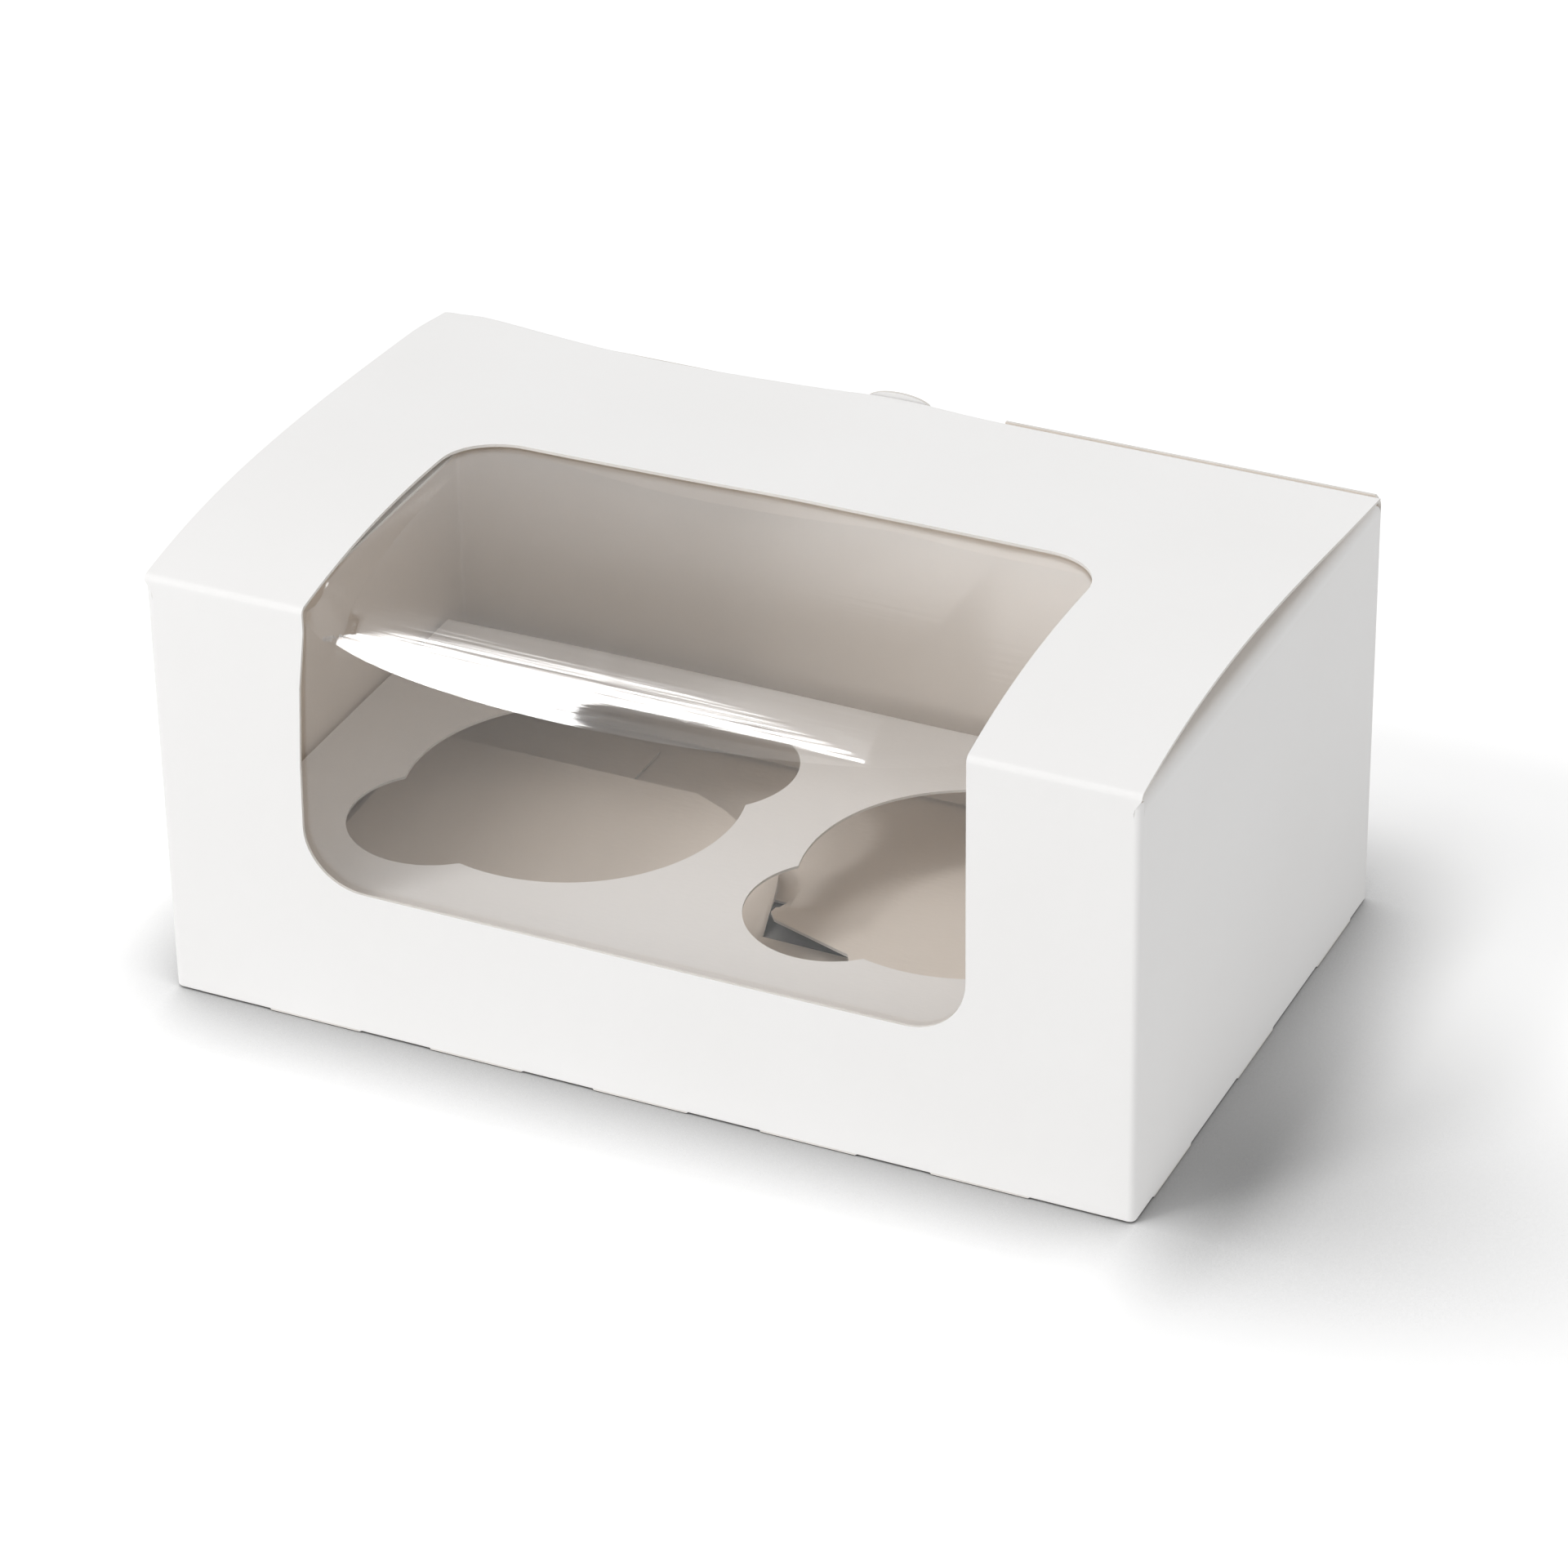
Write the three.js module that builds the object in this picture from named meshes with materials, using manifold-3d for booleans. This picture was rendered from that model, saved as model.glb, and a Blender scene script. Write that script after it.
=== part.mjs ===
// Two-cup cupcake box: a folded white carton, its hinged lid, the clear film behind the window
// that crosses the front crease, and a card insert with two cup holes.
// Millimetres, +Z up, front towards -Y, origin at the middle of the base.
import * as THREE from 'three';
import { mergeVertices } from 'three/addons/utils/BufferGeometryUtils.js';
import Module from 'manifold-3d';

const wasm = await Module();
wasm.setup();

// Carton
const boxWidth = 165;
const boxDepth = 101;
const boxHeight = 75;
const board = 0.5;
const layerGap = 0.3;
const foldRadius = 1.2;
const sideDrop = 1.4;
const backDrop = 0.4;
const backCornerBevel = 2;
const thumbNotchWidth = 37;
const thumbNotchDepth = 9;

// Dust flaps under the lid, one on each side panel
const dustFlapReach = 24;
const dustFlapTaper = 9;
const dustFlapFrontGap = 2;
const dustFlapBackGap = 3.5;

// Glue flap inside the right side panel
const glueFlapReach = 12;
const glueFlapTaper = 6;
const glueFlapEndGap = 4;

// Bottom: two long flaps that lock over each other, and two side flaps between them
const bottomFlapInset = 4.5;
const frontFlapReach = 82;
const backFlapReach = 81;
const lowFrontReach = 50;
const lowBackReach = 40;
const bottomLockX = 3;
const bottomLockWidth = 10;
const bottomLockStep = 0.2;
const frontShoulderX = 27.5;
const frontShoulderLength = 6.5;
const frontHookWidth = 3.5;
const backTipGap = 3;
const backTipWidth = 2.5;
const backShoulderX = 15;
const backShoulderLength = 15;
const bottomLift = 3.4;
const bottomFirstRise = 17;
const sideFlapReach = 40;
const sideFlapWallGap = 3.5;
const sideFlapShoulder = 18;
const sideFlapTaper = 12;
const sideFlapBackSlant = 1;

// Perforated crease along the bottom edges: cut stretches between creased ones
const cutLengthFront = 16;
const cutPitchFront = 28.6;
const cutCountFront = 5;
const cutLengthSide = 15;
const cutPitchSide = 35;
const cutCountSide = 3;
const creaseBevel = 0.4;

// Lid and its tuck flap
const lidRise = 4.3;
const lidSkew = 0.6;
const lidBackDrop = 0.6;
const tuckLength = 22;
const tuckLean = 2.8;
const tuckSideGap = 1.5;
const tuckTaper = 3;
const tuckCornerRadius = 8;
const fingerTabWidth = 9;
const fingerTabHeight = 1.1;

// Window across the crease between front panel and lid
const windowWidth = 110;
const windowDrop = 49;
const windowReach = 56;
const windowCornerRadius = 10;

// Clear film
const film = 0.2;
const filmMargin = 7.5;
const filmEndSetback = 1;
const filmSagDepth = 9;
const filmSagLeft = 0.5;
const filmSagRight = 0.75;

// Insert
const insertBoard = 0.45;
const insertHeight = 20;
const insertTopDepth = 86;
const insertSideGap = 1.2;
const insertLegClearance = 0.6;
const insertFoldRadius = 1;
const insertFootHeight = 1.6;
const cupHoleRadius = 28.2;
const cupHoleSpacing = 70.4;
const lobeRadius = 14.5;
const lobeOffset = 22.8;

const halfWidth = boxWidth / 2;
const frontY = -boxDepth / 2;
const backY = boxDepth / 2;
const innerX = halfWidth - board;
const innerFrontY = frontY + board;
const innerBackY = backY - board;
const frontTop = boxHeight - board - layerGap;
const sideTop = boxHeight - sideDrop;
const backTop = boxHeight - backDrop;
const lidBackY = innerBackY - layerGap;
const lidBackZ = boxHeight - lidBackDrop;
const windowBottomZ = boxHeight - windowDrop;
const windowBackY = frontY + windowReach;

const axisX = new THREE.Vector3(1, 0, 0);
const axisY = new THREE.Vector3(0, 1, 0);
const axisZ = new THREE.Vector3(0, 0, 1);
const arcSteps = 12;
const foldSteps = 4;

const cardMaterial = new THREE.MeshStandardMaterial({ color: 0xf1f0ee, roughness: 0.55, metalness: 0 });
const insertMaterial = new THREE.MeshStandardMaterial({ color: 0xeeebe7, roughness: 0.6, metalness: 0 });
const filmMaterial = new THREE.MeshStandardMaterial({
  color: 0xf4f6f6,
  roughness: 0.05,
  metalness: 0,
  transparent: true,
  opacity: 0.25,
});

function toSolid(geometry) {
  const bare = geometry.clone();
  bare.deleteAttribute('normal');
  bare.deleteAttribute('uv');
  const merged = mergeVertices(bare, 1e-4);
  const vertProperties = new Float32Array(merged.attributes.position.array);
  const triVerts = new Uint32Array(merged.index.array);
  return new wasm.Manifold(new wasm.Mesh({ numProp: 3, vertProperties, triVerts }));
}

function toMesh(solid, name, material) {
  const { vertProperties, triVerts } = solid.getMesh();
  const geometry = new THREE.BufferGeometry();
  geometry.setAttribute('position', new THREE.BufferAttribute(vertProperties, 3));
  geometry.setIndex(new THREE.BufferAttribute(triVerts, 1));
  geometry.computeVertexNormals();
  const mesh = new THREE.Mesh(geometry, material);
  mesh.name = name;
  return mesh;
}

function prism(shape, depth, right, up, out, offset) {
  const geometry = new THREE.ExtrudeGeometry(shape, {
    depth,
    bevelEnabled: false,
    steps: 1,
    curveSegments: arcSteps,
  });
  geometry.applyMatrix4(new THREE.Matrix4().makeBasis(right, up, out).setPosition(offset));
  return toSolid(geometry);
}

// Outline in Y and Z, swept along X
function prismX(shape, from, to) {
  return prism(shape, to - from, axisY, axisZ, axisX, new THREE.Vector3(from, 0, 0));
}

// Outline in X and Z, swept along Y
function prismY(shape, from, to) {
  return prism(shape, to - from, axisX, axisZ, axisY.clone().negate(), new THREE.Vector3(0, to, 0));
}

// Outline in X and Y, swept along Z
function prismZ(shape, from, to) {
  return prism(shape, to - from, axisX, axisY, axisZ, new THREE.Vector3(0, 0, from));
}

function block(xFrom, xTo, yFrom, yTo, zFrom, zTo) {
  const geometry = new THREE.BoxGeometry(xTo - xFrom, yTo - yFrom, zTo - zFrom);
  geometry.translate((xFrom + xTo) / 2, (yFrom + yTo) / 2, (zFrom + zTo) / 2);
  return toSolid(geometry);
}

function polygon(points) {
  return new THREE.Shape(points.map(([x, y]) => new THREE.Vector2(x, y)));
}

function roundedRect(path, x0, y0, x1, y1, radius) {
  path.moveTo(x0 + radius, y0);
  path.lineTo(x1 - radius, y0);
  path.absarc(x1 - radius, y0 + radius, radius, -Math.PI / 2, 0, false);
  path.lineTo(x1, y1 - radius);
  path.absarc(x1 - radius, y1 - radius, radius, 0, Math.PI / 2, false);
  path.lineTo(x0 + radius, y1);
  path.absarc(x0 + radius, y1 - radius, radius, Math.PI / 2, Math.PI, false);
  path.lineTo(x0, y0 + radius);
  path.absarc(x0 + radius, y0 + radius, radius, Math.PI, 1.5 * Math.PI, false);
  return path;
}

// Section of a folded sheet: the given line is its outer face, the sheet lies on the line's right
function ribbon(line, thickness) {
  const inner = line.map((point, i) => {
    const before = line[Math.max(i - 1, 0)];
    const after = line[Math.min(i + 1, line.length - 1)];
    const into = (i === 0 ? after.clone().sub(point) : point.clone().sub(before)).normalize();
    const away = (i === line.length - 1 ? into.clone() : after.clone().sub(point).normalize());
    const normal = new THREE.Vector2(into.y + away.y, -into.x - away.x);
    const mitre = thickness / (1 + into.dot(away));
    return point.clone().addScaledVector(normal, mitre);
  });
  return new THREE.Shape([...line, ...inner.reverse()]);
}

// Closed sheet over a grid of points, thickened towards the side from which the rows run
// anticlockwise: from row to row first, then along a row
function sheet(rows, thickness) {
  const lastRow = rows.length - 1;
  const last = rows[0].length - 1;
  const faces = [];
  const upper = rows.map((row, i) => row.map((point, j) => {
    const along = row[Math.min(j + 1, last)].clone().sub(row[Math.max(j - 1, 0)]);
    const across = rows[Math.min(i + 1, lastRow)][j].clone().sub(rows[Math.max(i - 1, 0)][j]);
    return point.clone().addScaledVector(across.cross(along).normalize(), thickness);
  }));
  const quad = (a, b, c, d) => faces.push(a, b, c, a, c, d);
  for (let i = 0; i < lastRow; i += 1) {
    for (let j = 0; j < last; j += 1) {
      quad(upper[i][j], upper[i + 1][j], upper[i + 1][j + 1], upper[i][j + 1]);
      quad(rows[i][j], rows[i][j + 1], rows[i + 1][j + 1], rows[i + 1][j]);
    }
    quad(rows[i][0], rows[i + 1][0], upper[i + 1][0], upper[i][0]);
    quad(rows[i][last], upper[i][last], upper[i + 1][last], rows[i + 1][last]);
  }
  for (let j = 0; j < last; j += 1) {
    quad(rows[0][j], upper[0][j], upper[0][j + 1], rows[0][j + 1]);
    quad(rows[lastRow][j], rows[lastRow][j + 1], upper[lastRow][j + 1], upper[lastRow][j]);
  }
  return toSolid(new THREE.BufferGeometry().setFromPoints(faces));
}

function ramp(value) {
  return THREE.MathUtils.clamp(value, 0, 1);
}

// Height between two stations of a broken line, given as [position, height] pairs
function brokenLine(stations, position) {
  const next = stations.findIndex(([at]) => at >= position);
  if (next <= 0) {
    return stations[next === 0 ? 0 : stations.length - 1][1];
  }
  const [x0, y0] = stations[next - 1];
  const [x1, y1] = stations[next];
  return THREE.MathUtils.mapLinear(position, x0, x1, y0, y1);
}

function makeWalls() {
  const outline = roundedRect(new THREE.Shape(), -halfWidth, frontY, halfWidth, backY, foldRadius);
  const innerRadius = foldRadius - board;
  outline.holes.push(roundedRect(new THREE.Path(), -innerX, innerFrontY, innerX, innerBackY, innerRadius));
  const foldLine = halfWidth - foldRadius;
  const over = boxHeight + foldRadius;
  const sideFront = frontY + foldRadius;
  const sideBack = innerBackY - layerGap / 2;
  let walls = prismZ(outline, 0, backTop);
  walls = walls.subtract(block(-halfWidth, halfWidth, frontY, sideFront, frontTop, over));
  for (const side of [-1, 1]) {
    const sideCut = [foldLine * side, halfWidth * side].sort((a, b) => a - b);
    walls = walls.subtract(block(...sideCut, sideFront, sideBack, sideTop - foldRadius, over));
    walls = walls.subtract(makeBackCorner(side));
  }
  walls = walls.subtract(makeWindowCut());
  const notch = new THREE.Shape();
  notch.absellipse(0, backTop, thumbNotchWidth / 2, thumbNotchDepth, 0, 2 * Math.PI);
  return walls.subtract(prismY(notch, innerBackY - board, backY + board));
}

// Bevel at each top end of the back panel, so the lid's corners clear it
function makeBackCorner(side) {
  const over = boxHeight + foldRadius;
  const bevel = polygon([
    [side * (halfWidth - backCornerBevel), over],
    [side * (halfWidth - backCornerBevel), backTop],
    [side * halfWidth, sideTop - board],
    [side * (halfWidth + board), sideTop - board],
    [side * (halfWidth + board), over],
  ]);
  return prismY(bevel, backY - 2 * foldRadius, backY + board);
}

// The part of the window that lies in the front panel
function makeWindowCut() {
  const cut = roundedRect(
    new THREE.Shape(),
    -windowWidth / 2,
    windowBottomZ,
    windowWidth / 2,
    boxHeight + windowDrop,
    windowCornerRadius,
  );
  return prismY(cut, frontY - board, innerFrontY + board);
}

// Flap that folds in under the lid from a side panel's top crease
function makeDustFlap(side) {
  const start = sideTop - foldRadius;
  const line = new THREE.Path();
  line.moveTo(halfWidth, start - board);
  line.lineTo(halfWidth, start);
  line.absarc(halfWidth - foldRadius, start, foldRadius, 0, Math.PI / 2, false);
  line.lineTo(halfWidth - dustFlapReach, sideTop);
  const outer = line.getPoints(foldSteps).reverse();
  const strip = prismY(ribbonOf(outer, board), frontY, backY);
  const nearFront = frontY + dustFlapFrontGap;
  const nearBack = backY - dustFlapBackGap;
  const tip = halfWidth - dustFlapReach;
  const plan = polygon([
    [tip, nearFront + dustFlapTaper],
    [halfWidth - foldRadius, nearFront],
    [halfWidth, nearFront],
    [halfWidth, nearBack],
    [halfWidth - foldRadius, nearBack],
    [tip, nearBack - dustFlapTaper],
  ]);
  const flap = strip.intersect(prismZ(plan, 0, boxHeight));
  return side > 0 ? flap : flap.mirror([1, 0, 0]);
}

// As ribbon, for a line that runs with the sheet on its left
function ribbonOf(line, thickness) {
  return ribbon([...line].reverse(), -thickness);
}

function makeGlueFlap() {
  const outerX = innerX - layerGap;
  const top = sideTop - glueFlapEndGap;
  const tipY = innerBackY - glueFlapReach;
  const outline = polygon([
    [innerBackY + board / 2, glueFlapEndGap],
    [innerBackY + board / 2, top],
    [tipY, top - glueFlapTaper],
    [tipY, glueFlapEndGap + glueFlapTaper],
  ]);
  return prismX(outline, outerX - board, outerX);
}

// Bottom flap over the box's width: reach and level say how far in and how high it lies at each x
function makeWideFlap(columns, reach, level, fromBack) {
  const shares = [0, 0.03, 0.21, 0.5, 0.72, 0.86, 1];
  const ordered = [...columns].sort((a, b) => a - b);
  const rows = ordered.map((x) => shares.map((share) => {
    const start = board / 2;
    const inward = start + share * (reach(x) - start);
    const y = fromBack ? backY - inward : frontY + inward;
    return new THREE.Vector3(x, y, level(x, inward));
  }));
  return sheet(fromBack ? rows.reverse() : rows, board);
}

// Height of a long bottom flap at a distance in from its crease, on top of the side flaps
function lift(inward) {
  const overSideFlap = 2 * (board + layerGap) + layerGap / 3;
  const stations = [[0, 0], [board, 0], [bottomFirstRise, overSideFlap], [frontFlapReach, bottomLift]];
  return brokenLine(stations, inward);
}

// Front bottom flap: its left half lies on top, its right half runs on below the back flap
function makeFrontFlap() {
  const edge = halfWidth - bottomFlapInset;
  const lock = -bottomLockX;
  const handover = lock - bottomLockWidth;
  const hook = lock - frontHookWidth;
  const shoulder = -frontShoulderX;
  const shoulderEnd = shoulder + frontShoulderLength;
  const fall = frontFlapReach - lowFrontReach;
  const outline = [
    [-edge, frontFlapReach],
    [shoulder, frontFlapReach],
    [shoulderEnd, frontFlapReach - 0.1 * fall],
    [hook, frontFlapReach - 0.4 * fall],
    [lock, frontFlapReach - 0.65 * fall],
    [lock + bottomLockStep, lowFrontReach],
    [edge, lowFrontReach],
  ];
  const plain = [-edge, (shoulder - edge) / 2, edge / 4, edge * 0.65, edge];
  const shaped = [shoulder, shoulderEnd, handover, hook, lock, lock + bottomLockStep];
  const backEdgeOfBackFlap = boxDepth - lowBackReach;
  const level = (x, inward) => {
    const across = ramp((x - handover) / bottomLockWidth);
    const along = ramp((inward - lowFrontReach) / (backEdgeOfBackFlap - lowFrontReach));
    return lift(inward) * (x > lock ? 0 : 1 - across * (1 - along));
  };
  return makeWideFlap([...plain, ...shaped], (x) => brokenLine(outline, x), level, false);
}

// Back bottom flap: its right half lies on top, its left half runs on below the front flap
function makeBackFlap() {
  const edge = halfWidth - bottomFlapInset;
  const lock = -bottomLockX + 3 * bottomLockStep;
  const handover = lock + bottomLockWidth;
  const tip = lock + backTipWidth;
  const tipReach = boxDepth - lowFrontReach - backTipGap;
  const climb = backFlapReach - tipReach;
  const shoulderMiddle = backShoulderX + 0.6 * backShoulderLength;
  const shoulderEnd = backShoulderX + backShoulderLength;
  const outline = [
    [-edge, lowBackReach],
    [lock - bottomLockStep, lowBackReach],
    [lock, tipReach],
    [tip, tipReach + 0.1 * climb],
    [backShoulderX, tipReach + 0.25 * climb],
    [shoulderMiddle, tipReach + 0.8 * climb],
    [shoulderEnd, backFlapReach],
    [edge, backFlapReach],
  ];
  const plain = [-edge, -edge * 0.65, -edge / 4, (shoulderEnd + edge) / 2, edge];
  const shaped = [lock - bottomLockStep, lock, tip, handover, backShoulderX, shoulderMiddle, shoulderEnd];
  const level = (x, inward) => {
    const across = ramp((handover - x) / bottomLockWidth);
    const along = ramp((inward - lowBackReach) / (tipReach - lowBackReach));
    return lift(inward) * (x < lock ? 0 : 1 - across * (1 - along));
  };
  return makeWideFlap([...plain, ...shaped], (x) => brokenLine(outline, x), level, true);
}

// Side bottom flap, between the long flaps' two levels
function makeSideFlap(side) {
  const level = board + layerGap;
  const rise = bottomFlapInset - 2 * board;
  const wallStart = board / 2;
  const spans = [
    [wallStart, 0, sideFlapWallGap],
    [board, 0, sideFlapWallGap + 2 * board],
    [board + rise, level, sideFlapShoulder],
    [sideFlapReach, level, sideFlapShoulder + sideFlapTaper],
  ];
  const rows = spans.map(([inward, z, near]) => [0, 0.25, 0.5, 0.75, 1].map((share) => {
    const far = boxDepth - sideFlapWallGap - sideFlapBackSlant * (inward / sideFlapReach);
    const along = near + share * (far - near);
    const x = side * (halfWidth - inward);
    const y = side < 0 ? frontY + along : backY - along;
    return new THREE.Vector3(x, y, z);
  }));
  return sheet(rows, board);
}

// Bevels along the creased stretches of one bottom edge, between the cut ones
function makeCreaseBevels(length, cutLength, pitch, count) {
  const half = length / 2;
  const cuts = Array.from({ length: count }, (_, i) => (i - (count - 1) / 2) * pitch);
  const starts = [-half, ...cuts.map((centre) => centre + cutLength / 2)];
  const ends = [...cuts.map((centre) => centre - cutLength / 2), half];
  const section = polygon([
    [-creaseBevel, -creaseBevel],
    [2 * creaseBevel, -creaseBevel],
    [-creaseBevel, 2 * creaseBevel],
  ]);
  return starts.map((start, i) => prismX(section, start, ends[i]));
}

function bevelBottomEdges(solid) {
  const front = makeCreaseBevels(boxWidth + 2 * board, cutLengthFront, cutPitchFront, cutCountFront);
  const side = makeCreaseBevels(boxDepth + 2 * board, cutLengthSide, cutPitchSide, cutCountSide);
  let result = solid;
  for (const bevel of front) {
    result = result.subtract(bevel.translate([0, frontY, 0]));
    result = result.subtract(bevel.translate([0, frontY, 0]).rotate([0, 0, 180]));
  }
  for (const bevel of side) {
    result = result.subtract(bevel.translate([0, -halfWidth, 0]).rotate([0, 0, 90]));
    result = result.subtract(bevel.translate([0, -halfWidth, 0]).rotate([0, 0, -90]));
  }
  return result;
}

function makeCarton() {
  const body = makeWalls()
    .add(makeDustFlap(-1))
    .add(makeDustFlap(1))
    .add(makeGlueFlap())
    .add(makeFrontFlap())
    .add(makeBackFlap())
    .add(makeSideFlap(-1))
    .add(makeSideFlap(1));
  return toMesh(bevelBottomEdges(body), 'carton', cardMaterial);
}

// Height of the bowed lid's outer face at a given y
function lidHeight(y) {
  const t = ramp((y - frontY) / (lidBackY - foldRadius - frontY));
  const skewed = 6.75 * t * (1 - t) * (1 - t);
  const even = 4 * t * (1 - t);
  return boxHeight - lidBackDrop * t + lidRise * (lidSkew * skewed + (1 - lidSkew) * even);
}

function makeLid() {
  const archEnd = lidBackY - foldRadius;
  const archSteps = 20;
  const lean = Math.asin(tuckLean / tuckLength);
  const line = [];
  for (let i = 0; i < archSteps; i += 1) {
    const y = frontY + (i / archSteps) * (archEnd - frontY);
    line.push(new THREE.Vector2(y, lidHeight(y)));
  }
  const fold = new THREE.Path();
  fold.absarc(archEnd, lidBackZ - foldRadius, foldRadius, Math.PI / 2, -lean, true);
  line.push(...fold.getPoints(foldSteps));
  const foldEnd = line[line.length - 1];
  const tuck = new THREE.Vector2(Math.sin(lean), Math.cos(lean)).multiplyScalar(tuckLength);
  line.push(foldEnd.clone().sub(tuck));
  const strip = prismX(ribbon(line, board), -halfWidth, halfWidth);
  const tipZ = lidBackZ - foldRadius - tuckLength;
  const lid = strip.intersect(prismY(makeLidOutline(tipZ), frontY - board, backY)).add(makeFingerTab());
  return toMesh(lid.subtract(makeLidWindowCut()), 'lid', cardMaterial);
}

// The lid seen from the front: full width above, the narrower tuck flap with round corners below
function makeLidOutline(tipZ) {
  const tuckHalf = innerX - tuckSideGap;
  const shoulder = lidBackZ - foldRadius;
  const top = boxHeight + 2 * lidRise;
  const foot = tuckHalf - tuckTaper;
  const cornerX = foot - tuckCornerRadius;
  const cornerZ = tipZ + tuckCornerRadius;
  const outline = new THREE.Shape();
  outline.moveTo(-halfWidth, top);
  outline.lineTo(-halfWidth, shoulder);
  outline.lineTo(-tuckHalf, shoulder);
  outline.lineTo(-foot, cornerZ);
  outline.absarc(-cornerX, cornerZ, tuckCornerRadius, Math.PI, 1.5 * Math.PI, false);
  outline.lineTo(cornerX, tipZ);
  outline.absarc(cornerX, cornerZ, tuckCornerRadius, 1.5 * Math.PI, 0, false);
  outline.lineTo(tuckHalf, shoulder);
  outline.lineTo(halfWidth, shoulder);
  outline.lineTo(halfWidth, top);
  return outline;
}

// Small half-moon in the middle of the rear crease, to lift the lid by
function makeFingerTab() {
  const tab = new THREE.Shape();
  tab.absellipse(0, lidBackZ - foldRadius, fingerTabWidth / 2, foldRadius + fingerTabHeight, 0, 2 * Math.PI);
  return prismY(tab, lidBackY - board, lidBackY);
}

// The part of the window that lies in the lid
function makeLidWindowCut() {
  const cut = roundedRect(
    new THREE.Shape(),
    -windowWidth / 2,
    frontY - windowDrop,
    windowWidth / 2,
    windowBackY,
    windowCornerRadius,
  );
  return prismZ(cut, boxHeight - 2 * board, boxHeight + 2 * lidRise);
}

// How far below the front crease the film bends: it cuts the corner as a slanted facet, whose
// lower bend sags between the window's sides, steeper at the left end than at the right
function filmSetback(x) {
  const share = ramp(x / windowWidth + 0.5);
  const deepest = filmSagLeft / (filmSagLeft + filmSagRight);
  const sag = (t) => t ** filmSagLeft * (1 - t) ** filmSagRight;
  return filmEndSetback + (filmSagDepth * sag(share)) / sag(deepest);
}

function filmColumns() {
  const steps = 16;
  const shares = Array.from({ length: steps + 1 }, (_, i) => (1 - Math.cos((i / steps) * Math.PI)) / 2);
  const inside = shares.map((share) => (share - 0.5) * windowWidth);
  return [-windowWidth / 2 - filmMargin, ...inside, windowWidth / 2 + filmMargin];
}

// The film behind the front panel, up to the middle of the slanted facet
function makeFrontFilm() {
  const faceY = innerFrontY + layerGap;
  const low = windowBottomZ - filmMargin;
  const rows = filmColumns().map((x) => {
    const setback = filmSetback(x);
    const bend = frontTop - setback;
    const middle = (setback - layerGap) / 2;
    return [
      new THREE.Vector3(x, faceY + middle, bend + middle),
      new THREE.Vector3(x, faceY, bend),
      new THREE.Vector3(x, faceY, (low + bend) / 2),
      new THREE.Vector3(x, faceY, low),
    ];
  });
  return toMesh(sheet(rows, film), 'window_film_front', filmMaterial);
}

// The film under the lid, from the middle of the slanted facet to behind the window's back edge
function makeLidFilm() {
  const faceY = innerFrontY + layerGap;
  const end = windowBackY + filmMargin;
  const steps = 6;
  const rows = filmColumns().map((x) => {
    const setback = filmSetback(x);
    const middle = (setback + layerGap) / 2;
    const bendY = faceY + setback;
    const row = [];
    for (let i = steps; i >= 0; i -= 1) {
      const y = bendY + (i / steps) * (end - bendY);
      row.push(new THREE.Vector3(x, y, lidHeight(y) - board - layerGap));
    }
    return [...row, new THREE.Vector3(x, faceY + middle, frontTop - setback + middle)];
  });
  return toMesh(sheet(rows, film), 'window_film_lid', filmMaterial);
}

// Outline of a cup hole: a circle with a finger lobe at two opposite corners
function makeCupHole(centreX) {
  const diagonal = lobeOffset * Math.SQRT1_2;
  const low = insertHeight - 2 * insertFoldRadius;
  const high = insertHeight + insertFoldRadius;
  const circles = [
    [centreX, 0, cupHoleRadius],
    [centreX - diagonal, -diagonal, lobeRadius],
    [centreX + diagonal, diagonal, lobeRadius],
  ];
  return circles.map(([x, y, radius]) => {
    const circle = new THREE.CylinderGeometry(radius, radius, high - low, 40);
    circle.rotateX(Math.PI / 2);
    circle.translate(x, y, (low + high) / 2);
    return toSolid(circle);
  });
}

function makeInsert() {
  const half = boxWidth / 2 - board - insertSideGap;
  const foldY = insertTopDepth / 2;
  const footY = innerBackY - insertLegClearance;
  const splay = Math.atan2(footY - foldY, insertHeight - insertFootHeight);
  const foldCentreY = foldY - insertFoldRadius;
  const foldCentreZ = insertHeight - insertFoldRadius;
  const line = new THREE.Path();
  line.moveTo(-footY, insertFootHeight);
  line.lineTo(
    -foldCentreY - insertFoldRadius * Math.cos(splay),
    foldCentreZ + insertFoldRadius * Math.sin(splay),
  );
  line.absarc(-foldCentreY, foldCentreZ, insertFoldRadius, Math.PI - splay, Math.PI / 2, true);
  line.absarc(foldCentreY, foldCentreZ, insertFoldRadius, Math.PI / 2, splay, true);
  line.lineTo(footY, insertFootHeight);
  let insert = prismX(ribbon(line.getPoints(foldSteps), insertBoard), -half, half);
  for (const side of [-1, 1]) {
    for (const cutter of makeCupHole(side * cupHoleSpacing / 2)) {
      insert = insert.subtract(cutter);
    }
  }
  return toMesh(insert, 'insert', insertMaterial);
}

const box = new THREE.Group();
box.add(makeCarton(), makeLid(), makeFrontFilm(), makeLidFilm(), makeInsert());

export default box;
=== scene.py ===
import math

import bmesh
import bpy
import numpy as np
from mathutils import Matrix, Vector


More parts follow.
